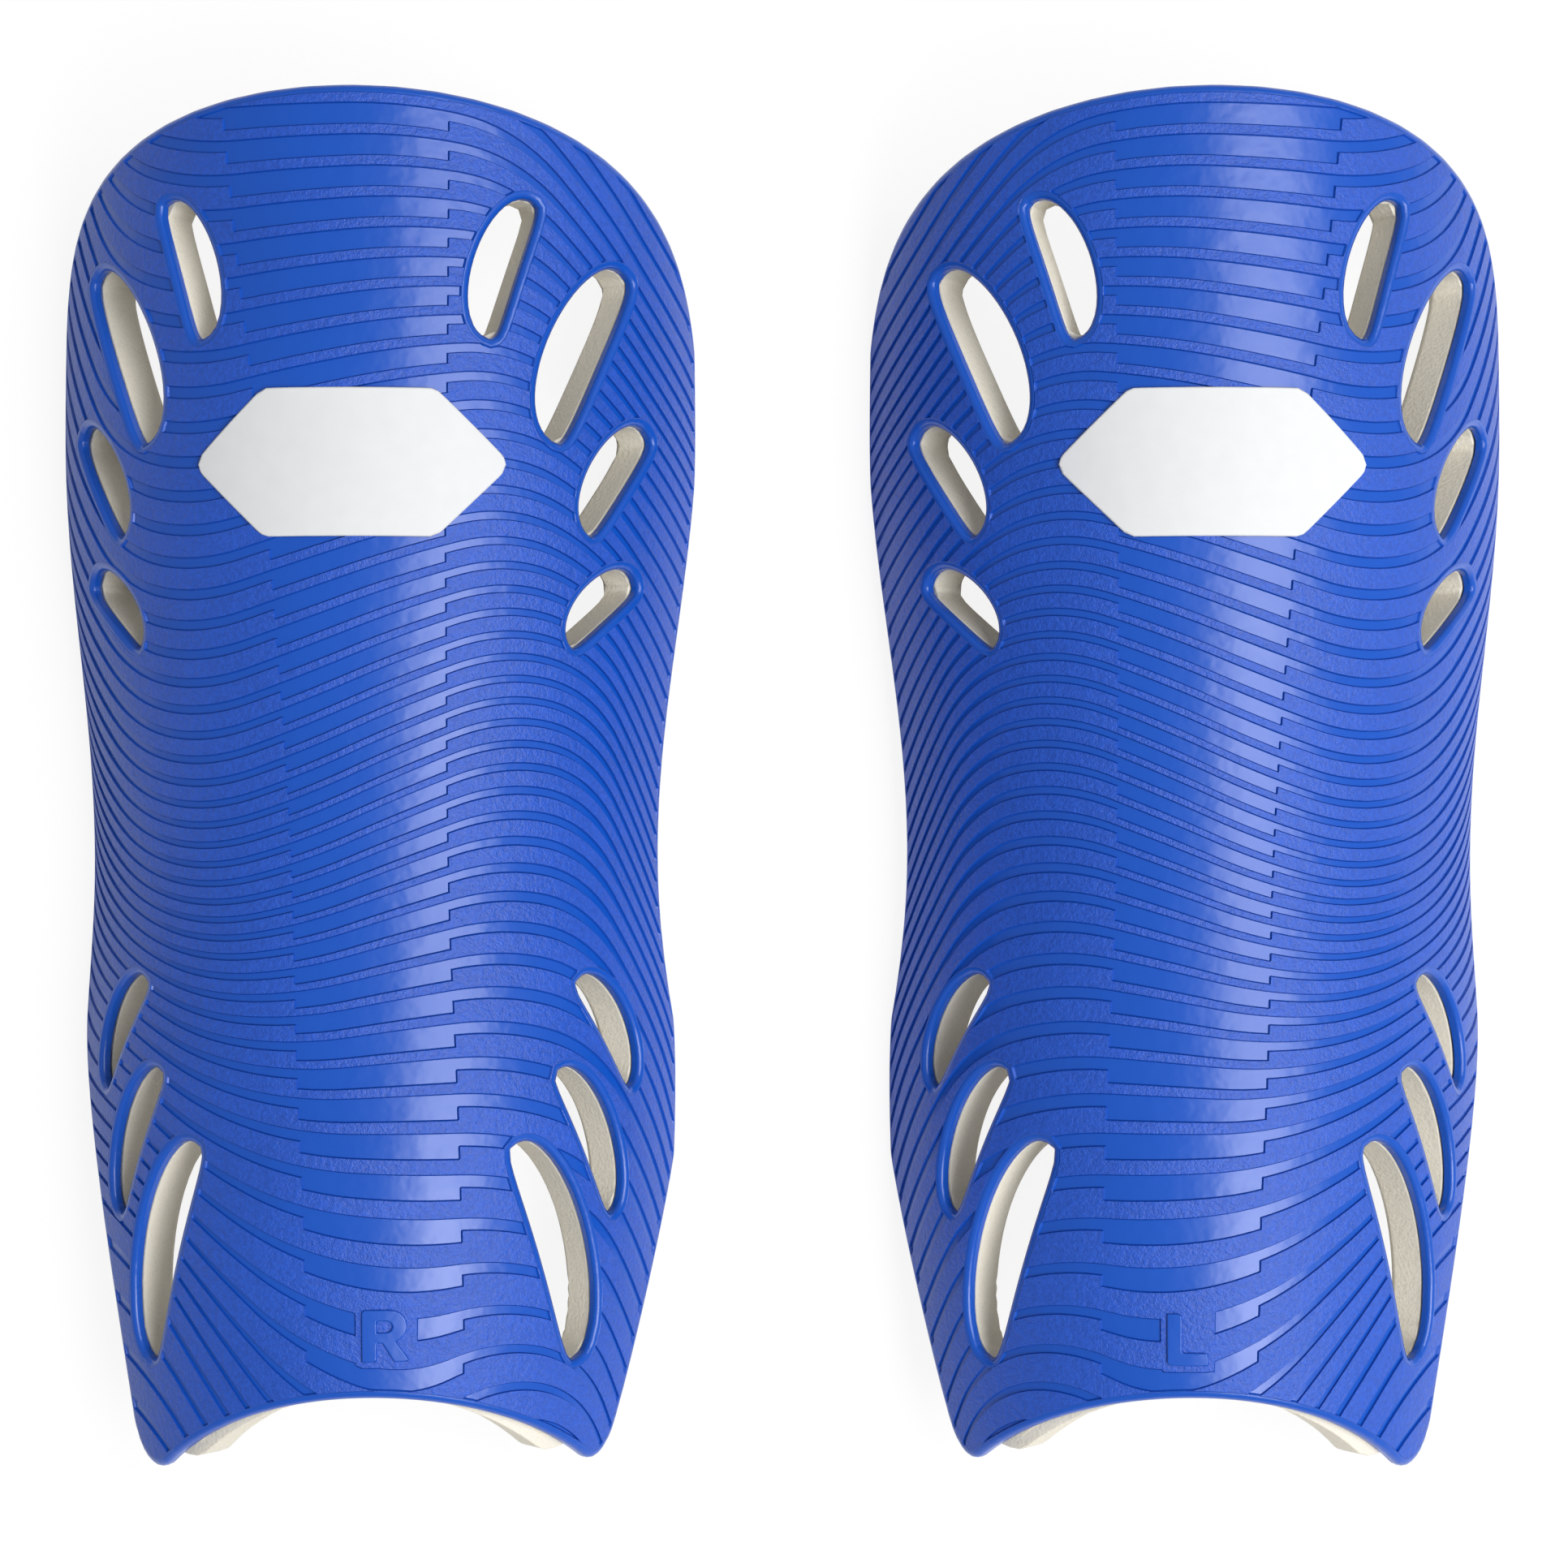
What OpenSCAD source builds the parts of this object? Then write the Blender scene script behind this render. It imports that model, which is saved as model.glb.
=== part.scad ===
// Pair of slip-in shin guards, lying hollow side down, seen from above.
// The right guard lies at -X and the left guard is its mirror twin at +X.
// Each guard is a curved plastic shell, glued to a foam backing, with a plain badge on its front.
// All layers follow one form: a body of revolution about an axis along Y, a little below the table.
// Places on the form are given as [angle from the ridge in degrees, distance along Y in mm];
// positive angles point to the middle of the pair.

/* [Guard] */
// Length of a guard, from the top of its arch to its outer tip
guard_length = 228; // [190:1:260]
// Gap between the two guards where they come closest
guard_gap = 30; // [10:1:120]
// How far the axis of the form lies below the table
axis_depth = 10; // [4:0.5:20]
// Radius of the form at the calf, where it is widest
calf_radius = 56; // [50:0.5:64]
// How much the form narrows from the calf to the top edge
top_taper = 1.4; // [0:0.1:5]
// How much the form narrows from the calf to the waist
waist_taper = 5; // [0:0.1:8]
// How much narrower than the calf the form is at the flare above the ankle
flare_taper = 3.4; // [0:0.1:8]
// How much narrower than the calf the form is at the bottom edge
ankle_taper = 8; // [2:0.1:12]
// Distance of the calf from the top edge
calf_from_top = 53; // [40:1:60]
// Distance of the waist from the bottom edge
waist_from_bottom = 101; // [92:1:112]
// Distance of the flare from the bottom edge
flare_from_bottom = 63; // [52:1:72]

/* [Layers] */
// Thickness of the plastic shell
shell_thick = 2; // [1.2:0.1:3]
// Thickness of the glue film between shell and foam
glue_thick = 0.2; // [0.1:0.05:0.5]
// Thickness of the foam backing
foam_thick = 7; // [3:0.1:9]
// How far the foam stays back from the shell's edge
foam_margin = 0.6; // [0:0.1:2]
// How far the glue film stays back from the foam's sides and from the vents
glue_margin = 1.5; // [0.5:0.1:3]
// How far the glue film stays back from the foam's bottom edge
glue_bottom_margin = 2.5; // [2:0.1:5]

/* [Outline] */
// Height of the arch cut out of the bottom edge
arch_height = 14.4; // [6:0.2:20]
// Angle at which the long edges run on past the table
edge_angle = 82; // [81:0.5:86]
// Angle of the sharp corner on the inner edge, beside the flare
corner_angle = 89; // [84:0.5:92]
// Angle that the inner edge is cut back to at the waist
waist_cut_angle = 73; // [68:0.5:78]
// Angle of the outer tip
outer_tip_angle = 50; // [44:0.5:54]
// Angle of the inner tip
inner_tip_angle = 55; // [48:0.5:60]

/* [Vents] */
// Width of the vents as a share of the design width
vent_width_scale = 1; // [0.7:0.05:1.1]
// Length of the vents as a share of the design length
vent_length_scale = 1; // [0.8:0.05:1.1]

/* [Badge] */
// Width of the badge, across its points
badge_width = 50; // [30:1:60]
// Height of the badge
badge_height = 24; // [14:1:34]
// Thickness of the badge
badge_thick = 0.4; // [0.2:0.1:1]
// Distance of the badge's middle from the top edge
badge_from_top = 61.2; // [50:0.2:75]
// Radius of the badge's corners
badge_corner = 2.4; // [0.5:0.1:5]

/* [Hidden] */
$fn = 96;

top_y = guard_length / 2;
bottom_y = -guard_length / 2;
calf_y = top_y - calf_from_top;
waist_y = bottom_y + waist_from_bottom;
flare_y = bottom_y + flare_from_bottom;
arch_y = bottom_y + arch_height;
top_radius = calf_radius - top_taper;
waist_radius = calf_radius - waist_taper;
flare_radius = calf_radius - flare_taper;
ankle_radius = calf_radius - ankle_taper;
guard_x = guard_gap / 2 + sqrt(pow(calf_radius, 2) - pow(axis_depth, 2));

// Stations of the form: the profile is a chain of short straight pieces between them
form_step = 9.8;
form_overrun = 4;
form_count = ceil((guard_length + 2 * form_overrun) / form_step);

// The layers, as depths below the front face of the shell
glue_depth = shell_thick;
foam_depth = shell_thick + glue_thick;
inside_depth = foam_depth + foam_thick;

// The cutters reach from inside the hollow to well outside the form
cutter_inner = calf_radius * 0.36;
cutter_outer = calf_radius * 1.44;
curve_steps = 11;

// The seven vents of a half: [distance from the ridge, measured around the form,
// distance from its end of the guard, turn, length, width]
upper_vents = [
    [26.7, 28.6, 70, 24.4, 8],
    [42.4, 41.3, 60, 33.3, 11.4],
    [49.7, 61.8, 49, 22.8, 9.2],
    [46.8, 83.4, 35, 18.6, 7.8]
];
lower_vents = [
    [48.7, 73.8, -55, 22.6, 7.7],
    [44.2, 55.7, -62, 28, 7.9],
    [36.4, 37.8, -69.3, 39.6, 10.2]
];
// Upper vents lie this much further round on the outer half, and as much less on the inner half
upper_vent_offset = 1.2;
vent_steps = 26;

// Radius of the form at a place along Y
function ease(a, b, share) = a + (b - a) * (1 - cos(180 * share)) / 2;
function run_out(a, b, share) = a + (b - a) * (1 - cos(90 * share));
function form_radius(y) =
    y > calf_y ? run_out(calf_radius, top_radius, (y - calf_y) / (top_y - calf_y)) :
    y > waist_y ? ease(calf_radius, waist_radius, (calf_y - y) / (calf_y - waist_y)) :
    y > flare_y ? ease(waist_radius, flare_radius, (waist_y - y) / (waist_y - flare_y)) :
    run_out(flare_radius, ankle_radius, (flare_y - y) / (flare_y - bottom_y));

// Place part of the way from a to b
function between(a, b, share) = a + (b - a) * share;

// Points of a cubic curve from a to d with handles b and c, without its first point
function curve(a, b, c, d) = [
    for (i = [1 : curve_steps])
        let (t = i / curve_steps, s = 1 - t)
            s * s * s * a + 3 * s * s * t * b + 3 * s * t * t * c + t * t * t * d
];

// Half of an arch, from a tip up to its middle; fullness is how steeply it leaves the tip
function arch_half(tip, middle, fullness) = [
    tip,
    [between(tip[0], middle[0], 1 / 3), between(tip[1], middle[1], fullness)],
    [between(tip[0], middle[0], 2 / 3), middle[1]],
    middle
];
function reversed(list) = [for (i = [len(list) - 1 : -1 : 0]) list[i]];

// Place near the bottom edge; heights there are shares of the arch's height
function low_place(angle, share) = [angle, between(bottom_y, arch_y, share)];
function drop(angle, share) = [angle, -share * arch_height];

// A bottom edge is a chain of four curves: outer tip, half arch, half arch, inner tip.
// outer and inner are where it leaves the long edges, arch_outer and arch_inner are the arch's feet.
function bottom_edge(outer, arch_outer, middle, arch_inner, inner, fullness, tip_drop) = [
    [outer, outer + drop(1, 0.38), arch_outer + drop(-4, tip_drop), arch_outer],
    arch_half(arch_outer, middle, fullness),
    reversed(arch_half(arch_inner, middle, fullness)),
    [arch_inner, arch_inner + drop(4, tip_drop), inner + drop(-1.5, 0.35), inner]
];

arch_middle_angle = 2.8;
shell_bottom = bottom_edge(
    low_place(-outer_tip_angle - 5, 0.49),
    low_place(-outer_tip_angle + 6.5, 0.07),
    low_place(arch_middle_angle, 1),
    low_place(inner_tip_angle - 5, 0.11),
    low_place(inner_tip_angle + 5, 0.56),
    0.66,
    0.17
);

// The foam's is fuller beside the arch, so that it shows below the shell
foam_bottom = bottom_edge(
    low_place(-outer_tip_angle, 0.59),
    low_place(-outer_tip_angle + 15, 0.2),
    low_place(arch_middle_angle, 1.03),
    low_place(inner_tip_angle - 15, 0.24),
    low_place(inner_tip_angle, 0.66),
    0.64,
    0.06
);

// A bottom edge moved up
function raised(edge, rise) = [for (stretch = edge) [for (p = stretch) p + [0, rise]]];

// Where the curves of the outline meet: the shoulders beside the calf, where the outer edge
// leaves the table above the flare, and the sharp corner on the inner edge
shoulder_y = between(calf_y, top_y, 0.057);
outer_turn_y = between(flare_y, waist_y, 0.37);
corner_low_y = between(flare_y, bottom_y, 0.05);
corner_high_y = between(flare_y, waist_y, 0.05);

// Outline of a layer, as angle and Y, kept back from the shell's edge by a margin in mm
function outline(margin, edge) =
    let (
        m = margin / calf_radius * 180 / PI,
        top = top_y - margin,
        side = edge_angle - m,
        corner = corner_angle - m,
        outer_start = edge[0][0],
        inner_end = edge[3][3],
        shoulder_handle_y = between(shoulder_y, top_y, 0.58)
    )
    concat(
        curve([side, shoulder_y], [side, shoulder_handle_y], [46 - m, top], [0, top]),
        curve([0, top], [m - 46, top], [-side, shoulder_handle_y], [-side, shoulder_y]),
        [[-side, outer_turn_y]],
        curve([-side, outer_turn_y], [m - 66, between(outer_turn_y, outer_start[1], 0.21)],
            [m - 59, between(outer_turn_y, outer_start[1], 0.59)], outer_start),
        [for (stretch = edge) each curve(stretch[0], stretch[1], stretch[2], stretch[3])],
        curve(inner_end, [66 - m, between(inner_end[1], corner_low_y, 0.27)],
            [71.5 - m, between(inner_end[1], corner_low_y, 0.65)], [corner - 3, corner_low_y]),
        [[corner, corner_high_y]],
        curve([corner, corner_high_y], [waist_cut_angle - 10 - m, between(corner_high_y, shoulder_y, 0.07)],
            [waist_cut_angle + 2 - m, between(corner_high_y, shoulder_y, 0.7)], [side, shoulder_y])
    );

// Outline of a vent in its own flat frame: a nearly straight side, a bulged side and round ends.
// Both sides are worked out from one angle that runs around the vent.
function vent_outline(length, width) = [
    for (i = [0 : vent_steps - 1])
        let (
            a = 360 * (i + 0.5) / vent_steps,
            side = sin(a) > 0 ? 0.76 * sin(a) : 0.12 * pow(sin(a), 2) - 0.36 * pow(-sin(a), 0.45)
        )
            [length / 2 * cos(a), width * (side - 0.16)]
];

// Place of a point on the form, out from the axis by a radius
function on_form(angle, y, radius) = [radius * sin(angle), y, radius * cos(angle) - axis_depth];

// Solid that holds all rays from the axis through an outline. Each side strip turns about its
// own middle point, which lies on the form, so that the cut edge runs smoothly.
module wedge(points) {
    n = len(points);
    next = [for (i = [0 : n - 1]) (i + 1) % n];
    rings = [
        for (radius = [cutter_inner, cutter_outer]) for (p = points) on_form(p[0], p[1], radius)
    ];
    middles = [
        for (i = [0 : n - 1])
            let (p = (points[i] + points[next[i]]) / 2)
                on_form(p[0], p[1], (cutter_inner + cutter_outer) / 2)
    ];
    hubs = [on_form(0, 0, cutter_inner), on_form(0, 0, cutter_outer)];
    faces = [
        for (i = [0 : n - 1])
            let (j = next[i], middle = 2 * n + i)
                each [
                    [i, j, middle], [j, n + j, middle], [n + j, n + i, middle], [n + i, i, middle],
                    [3 * n, j, i], [3 * n + 1, n + i, n + j]
                ]
    ];
    polyhedron(concat(rings, middles, hubs), faces, convexity = 6);
}

// Ring of the form between two depths below the shell's front face
module form_ring(depth_outer, depth_inner) {
    stations = [
        for (i = [0 : form_count])
            bottom_y - form_overrun + i * (guard_length + 2 * form_overrun) / form_count
    ];
    translate([0, 0, -axis_depth])
        rotate([-90, 0, 0])
            rotate_extrude()
                polygon(concat(
                    [for (y = stations) [form_radius(y) - depth_inner, y]],
                    [for (i = [form_count : -1 : 0]) [form_radius(stations[i]) - depth_outer, stations[i]]]
                ));
}

// Everything above a level over the table
module above_table(level) {
    size = 2 * cutter_outer;
    translate([-size, -guard_length, level])
        cube([2 * size, 2 * guard_length, size]);
}

// One vent, as a straight cutter along the form's normal at the vent's middle
module vent_cutter(vent, y, grow) {
    angle = vent[0] / form_radius(y) * 180 / PI;
    translate([0, y, -axis_depth])
        rotate([0, angle, 0])
            translate([0, 0, cutter_inner])
                linear_extrude(cutter_outer)
                    rotate(vent[2])
                        polygon(vent_outline(
                            vent[3] * vent_length_scale + 2 * grow,
                            vent[4] * vent_width_scale + 2 * grow
                        ));
}

// All vents of a guard, each half the mirror of the other but for the upper vents' offset
module vent_cutters(grow) {
    for (flip = [0, 1])
        mirror([flip, 0, 0]) {
            for (vent = upper_vents)
                vent_cutter(vent + [upper_vent_offset * (2 * flip - 1), 0, 0, 0, 0], top_y - vent[1], grow);
            for (vent = lower_vents) vent_cutter(vent, bottom_y + vent[1], grow);
        }
}

module shell() {
    difference() {
        intersection() {
            form_ring(0, glue_depth);
            wedge(outline(0, shell_bottom));
            above_table(0);
        }
        vent_cutters(0);
    }
}

module glue_film() {
    difference() {
        intersection() {
            form_ring(glue_depth, foam_depth);
            wedge(outline(glue_margin + foam_margin, raised(foam_bottom, glue_bottom_margin)));
            above_table(glue_margin);
        }
        vent_cutters(glue_margin);
    }
}

module foam_backing() {
    difference() {
        intersection() {
            form_ring(foam_depth, inside_depth);
            wedge(outline(foam_margin, foam_bottom));
            above_table(0);
        }
        vent_cutters(0);
    }
}

// The badge is a long hexagon with rounded corners, curved like the shell that it sits on
module badge() {
    w = badge_width / 2 - badge_corner;
    h = badge_height / 2 - badge_corner;
    corners = [[w, 0], [w - h, h], [h - w, h], [-w, 0], [h - w, -h], [w - h, -h]];
    intersection() {
        form_ring(-badge_thick, 0);
        translate([0, top_y - badge_from_top, 0])
            linear_extrude(cutter_outer) {
                for (c = corners) translate(c) circle(badge_corner);
                for (i = [0 : 5]) band(corners[i], corners[(i + 1) % 6], badge_corner);
                polygon(corners);
            }
    }
}

// Straight strip between two points, with a half width
module band(a, b, half_width) {
    run = b - a;
    translate(a)
        rotate(atan2(run[1], run[0]))
            translate([0, -half_width])
                square([norm(run), 2 * half_width]);
}

module at_right() {
    translate([-guard_x, 0, 0]) children();
}

module at_left() {
    mirror([1, 0, 0]) at_right() children();
}

module right_shell() { color([0.13, 0.25, 0.67]) at_right() shell(); }
module right_glue_film() { color([0.86, 0.84, 0.74]) at_right() glue_film(); }
module right_foam_backing() { color([0.92, 0.9, 0.86]) at_right() foam_backing(); }
module right_badge() { color([0.96, 0.96, 0.96]) at_right() badge(); }
module left_shell() { color([0.13, 0.25, 0.67]) at_left() shell(); }
module left_glue_film() { color([0.86, 0.84, 0.74]) at_left() glue_film(); }
module left_foam_backing() { color([0.92, 0.9, 0.86]) at_left() foam_backing(); }
module left_badge() { color([0.96, 0.96, 0.96]) at_left() badge(); }

right_shell();
right_glue_film();
right_foam_backing();
right_badge();
left_shell();
left_glue_film();
left_foam_backing();
left_badge();
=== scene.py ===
"""A left and right pair of slip-in shin guards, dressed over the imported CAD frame.

Lengths inside the guard's own functions are in millimetres, as in the source. A place on a guard is
given flat: u runs across the guard from the ridge, positive toward the middle of the pair, and y runs
along it. The right guard is built first, and the left one is its mirror twin.
"""

import math

import bpy
import numpy as np
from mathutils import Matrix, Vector
from mathutils.bvhtree import BVHTree
from mathutils.geometry import delaunay_2d_cdt


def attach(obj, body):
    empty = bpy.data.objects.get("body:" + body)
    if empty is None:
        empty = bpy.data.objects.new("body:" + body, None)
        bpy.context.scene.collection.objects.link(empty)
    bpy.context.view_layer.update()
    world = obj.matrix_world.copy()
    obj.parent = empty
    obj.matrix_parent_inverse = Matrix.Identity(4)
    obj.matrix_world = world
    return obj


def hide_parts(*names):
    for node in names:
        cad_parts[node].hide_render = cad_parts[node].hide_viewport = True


bl_info = {
    "name": "Shin guard pair",
    "version": (1, 0, 0),
    "blender": (4, 5, 0),
    "location": "3D View > Sidebar > Shin guards",
    "description": "Builds the shells, foam backings, badges and side letters of a pair of shin guards",
    "category": "Add Mesh",
}

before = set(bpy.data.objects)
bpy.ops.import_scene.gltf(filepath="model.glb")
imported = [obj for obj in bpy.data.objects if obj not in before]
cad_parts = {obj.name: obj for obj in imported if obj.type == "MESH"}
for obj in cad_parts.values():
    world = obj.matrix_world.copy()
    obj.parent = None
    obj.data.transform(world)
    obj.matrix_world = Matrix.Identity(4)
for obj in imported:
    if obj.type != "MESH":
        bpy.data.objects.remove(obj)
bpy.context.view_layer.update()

MM = 0.001
SIDES = ("right", "left")
# Keeps a division from failing, and the area below which a triangle is dropped
TINY, NO_AREA = 1e-12, 1e-9

# ---------------------------------------------------------------- form, as in the source

GUARD_LENGTH = 228.0
GUARD_GAP = 30.0
AXIS_DEPTH = 10.0
CALF_RADIUS = 56.0
TOP_RADIUS = CALF_RADIUS - 1.4
WAIST_RADIUS = CALF_RADIUS - 5.0
FLARE_RADIUS = CALF_RADIUS - 3.4
ANKLE_RADIUS = CALF_RADIUS - 8.0
TOP_Y = GUARD_LENGTH / 2
BOTTOM_Y = -TOP_Y
CALF_Y = TOP_Y - 53
WAIST_Y = BOTTOM_Y + 101
FLARE_Y = BOTTOM_Y + 63
ARCH_HEIGHT = 14.4
ARCH_Y = BOTTOM_Y + ARCH_HEIGHT
EDGE_ANGLE = 82.0
CORNER_ANGLE = 89.0
WAIST_CUT_ANGLE = 73.0
OUTER_TIP_ANGLE = 50.0
INNER_TIP_ANGLE = 55.0
ARCH_MIDDLE_ANGLE = 2.8
SHELL_THICK = 2.0
GLUE_THICK = 0.2
FOAM_THICK = 7.0
FOAM_DEPTH = SHELL_THICK + GLUE_THICK
INSIDE_DEPTH = FOAM_DEPTH + FOAM_THICK
FOAM_MARGIN = 0.6
GUARD_X = GUARD_GAP / 2 + math.sqrt(CALF_RADIUS**2 - AXIS_DEPTH**2)

BADGE_SIZE = (50.0, 24.0)
BADGE_THICK = 0.4
BADGE_CORNER = 2.4
BADGE_Y = TOP_Y - 61.2

# Each vent: distance round the form from the ridge, distance from the top or bottom edge,
# turn in degrees, length and width
UPPER_VENTS = (
    (26.7, 28.6, 70, 24.4, 8),
    (42.4, 41.3, 60, 33.3, 11.4),
    (49.7, 61.8, 49, 22.8, 9.2),
    (46.8, 83.4, 35, 18.6, 7.8),
)
LOWER_VENTS = (
    (48.7, 73.8, -55, 22.6, 7.7),
    (44.2, 55.7, -62, 28, 7.9),
    (36.4, 37.8, -69.3, 39.6, 10.2),
)
# Upper vents lie this much further round on the outer half, and as much less on the inner half
UPPER_VENT_OFFSET = 1.2
VENT_STEPS = 52

# Flat places are angles times this radius
FLAT_RADIUS = 52.0


def flip_of(side):
    """-1 for the left guard, which is the mirror twin."""
    return 1 if side == "right" else -1


def between(a, b, share):
    return a + (b - a) * share


def form_radius(y):
    """Radius of the shell's front face round the guard's long axis."""

    def ease(a, b, s):
        return a + (b - a) * (1 - np.cos(np.pi * s)) / 2

    def run_out(a, b, s):
        return a + (b - a) * (1 - np.cos(np.pi / 2 * s))

    y = np.asarray(y, float)
    return np.select(
        [y > CALF_Y, y > WAIST_Y, y > FLARE_Y],
        [
            run_out(CALF_RADIUS, TOP_RADIUS, (y - CALF_Y) / (TOP_Y - CALF_Y)),
            ease(CALF_RADIUS, WAIST_RADIUS, (CALF_Y - y) / (CALF_Y - WAIST_Y)),
            ease(WAIST_RADIUS, FLARE_RADIUS, (WAIST_Y - y) / (WAIST_Y - FLARE_Y)),
        ],
        run_out(FLARE_RADIUS, ANKLE_RADIUS, (FLARE_Y - y) / (FLARE_Y - BOTTOM_Y)),
    )


def on_form(flat, depth):
    """Places in space of flat places, at a depth below the shell's front face."""
    angle, radius = flat[:, 0] / FLAT_RADIUS, form_radius(flat[:, 1]) - depth
    return np.stack([radius * np.sin(angle), flat[:, 1], radius * np.cos(angle) - AXIS_DEPTH], 1)


def form_normal(flat):
    angle = flat[:, 0] / FLAT_RADIUS
    step = 0.1
    rise = (form_radius(flat[:, 1] + step) - form_radius(flat[:, 1] - step)) / (2 * step)
    normal = np.stack([np.sin(angle), -rise, np.cos(angle)], 1)
    return normal / np.linalg.norm(normal, axis=1)[:, None]


def along_form(flat, direction):
    """Flat directions turned into directions in space."""
    angle = flat[:, 0] / FLAT_RADIUS
    across = np.stack([np.cos(angle), 0 * angle, -np.sin(angle)], 1)
    out = direction[:, :1] * across + direction[:, 1:] * np.array([0.0, 1.0, 0.0])
    return out / np.maximum(np.linalg.norm(out, axis=1), TINY)[:, None]


# ---------------------------------------------------------------- outlines


def curve(start, handle_a, handle_b, end, steps=18):
    """Places along a Bezier curve, without its end."""
    t = np.linspace(0, 1, steps, endpoint=False)[:, None]
    start, handle_a, handle_b, end = (np.array(p, float) for p in (start, handle_a, handle_b, end))
    return (1 - t) ** 3 * start + 3 * (1 - t) ** 2 * t * handle_a + 3 * (1 - t) * t**2 * handle_b + t**3 * end


def low_place(angle, share):
    """A place at a share of the arch's height."""
    return (angle, between(BOTTOM_Y, ARCH_Y, share))


def drop(place, angle, share):
    return (place[0] + angle, place[1] - share * ARCH_HEIGHT)


def bottom_edge(outer, arch_outer, middle, arch_inner, inner, fullness, tip_drop):
    """Four curves: outer tip, half arch, half arch, inner tip."""

    def arch_half(tip):
        return [
            tip,
            (between(tip[0], middle[0], 1 / 3), between(tip[1], middle[1], fullness)),
            (between(tip[0], middle[0], 2 / 3), middle[1]),
            middle,
        ]

    return [
        [outer, drop(outer, 1, 0.38), drop(arch_outer, -4, tip_drop), arch_outer],
        arch_half(arch_outer),
        arch_half(arch_inner)[::-1],
        [arch_inner, drop(arch_inner, 4, tip_drop), drop(inner, -1.5, 0.35), inner],
    ]


SHELL_BOTTOM = bottom_edge(
    low_place(-OUTER_TIP_ANGLE - 5, 0.49),
    low_place(-OUTER_TIP_ANGLE + 6.5, 0.07),
    low_place(ARCH_MIDDLE_ANGLE, 1),
    low_place(INNER_TIP_ANGLE - 5, 0.11),
    low_place(INNER_TIP_ANGLE + 5, 0.56),
    fullness=0.66,
    tip_drop=0.17,
)
FOAM_BOTTOM = bottom_edge(
    low_place(-OUTER_TIP_ANGLE, 0.59),
    low_place(-OUTER_TIP_ANGLE + 15, 0.2),
    low_place(ARCH_MIDDLE_ANGLE, 1.03),
    low_place(INNER_TIP_ANGLE - 15, 0.24),
    low_place(INNER_TIP_ANGLE, 0.66),
    fullness=0.64,
    tip_drop=0.06,
)

# Where the curves of the outline meet: the shoulders beside the calf, where the outer edge leaves the
# table above the flare, and the sharp corner on the inner edge
SHOULDER_Y = between(CALF_Y, TOP_Y, 0.057)
OUTER_TURN_Y = between(FLARE_Y, WAIST_Y, 0.37)
CORNER_LOW_Y = between(FLARE_Y, BOTTOM_Y, 0.05)
CORNER_HIGH_Y = between(FLARE_Y, WAIST_Y, 0.05)


def outline(margin, edge):
    """Flat outline of a layer, kept back from the shell's edge by a margin."""
    m = math.degrees(margin / CALF_RADIUS)
    top, side, corner = TOP_Y - margin, EDGE_ANGLE - m, CORNER_ANGLE - m
    shoulder_handle_y = between(SHOULDER_Y, TOP_Y, 0.58)
    start, end = edge[0][0], edge[3][3]
    stretches = [
        curve((side, SHOULDER_Y), (side, shoulder_handle_y), (46 - m, top), (0, top)),
        curve((0, top), (m - 46, top), (-side, shoulder_handle_y), (-side, SHOULDER_Y)),
        curve(
            (-side, OUTER_TURN_Y),
            (m - 66, between(OUTER_TURN_Y, start[1], 0.21)),
            (m - 59, between(OUTER_TURN_Y, start[1], 0.59)),
            start,
        ),
        *(curve(*stretch) for stretch in edge),
        curve(
            end,
            (66 - m, between(end[1], CORNER_LOW_Y, 0.27)),
            (71.5 - m, between(end[1], CORNER_LOW_Y, 0.65)),
            (corner - 3, CORNER_LOW_Y),
        ),
        curve(
            (corner, CORNER_HIGH_Y),
            (WAIST_CUT_ANGLE - 10 - m, between(CORNER_HIGH_Y, SHOULDER_Y, 0.07)),
            (WAIST_CUT_ANGLE + 2 - m, between(CORNER_HIGH_Y, SHOULDER_Y, 0.7)),
            (side, SHOULDER_Y),
        ),
    ]
    return np.concatenate(stretches) * (math.radians(FLAT_RADIUS), 1)


def vent_outline(length, width):
    """A nearly straight side, a bulged side and round ends, all from one angle round the vent."""
    a = 2 * np.pi * (np.arange(VENT_STEPS) + 0.5) / VENT_STEPS
    s = np.sin(a)
    side = np.where(s > 0, 0.76 * s, 0.12 * s**2 - 0.36 * np.maximum(-s, 0) ** 0.45)
    return np.stack([length / 2 * np.cos(a), width * (side - 0.16)], 1)


def vents():
    """(angle in radians, y, flat outline in the vent's own plane) of a guard's fourteen vents."""
    found = []
    groups = ((UPPER_VENTS, TOP_Y, -1, UPPER_VENT_OFFSET), (LOWER_VENTS, BOTTOM_Y, 1, 0))
    for group, start, way, offset in groups:
        for arc, distance, turn, length, width in group:
            y = start + way * distance
            c, s = math.cos(math.radians(turn)), math.sin(math.radians(turn))
            shape = vent_outline(length, width) @ np.array([[c, s], [-s, c]])
            for half in (1, -1):
                found.append(((half * arc - offset) / float(form_radius(y)), y, shape * (half, 1)))
    return found


VENTS = vents()
OUTLINE, TABLE = -1, -2  # what an edge belongs to, where it isn't a vent's number
CHUNK = 4000  # places measured at a time
# Places further than this outside a vent aren't measured from it, with more room across, where the
# form turns away
VENT_REACH, REACH_STRETCH = 5, (1.2, 1)


def crossings(p, a, b):
    """How many sides from a to b lie to the right of each of the places p, a column of them."""
    run = b - a
    straddles = (a[:, 1] > p[..., 1]) != (b[:, 1] > p[..., 1])
    slope = run[:, 0] / np.where(run[:, 1] == 0, TINY, run[:, 1])
    return (straddles & (p[..., 0] < a[:, 0] + (p[..., 1] - a[:, 1]) * slope)).sum(1)


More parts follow.
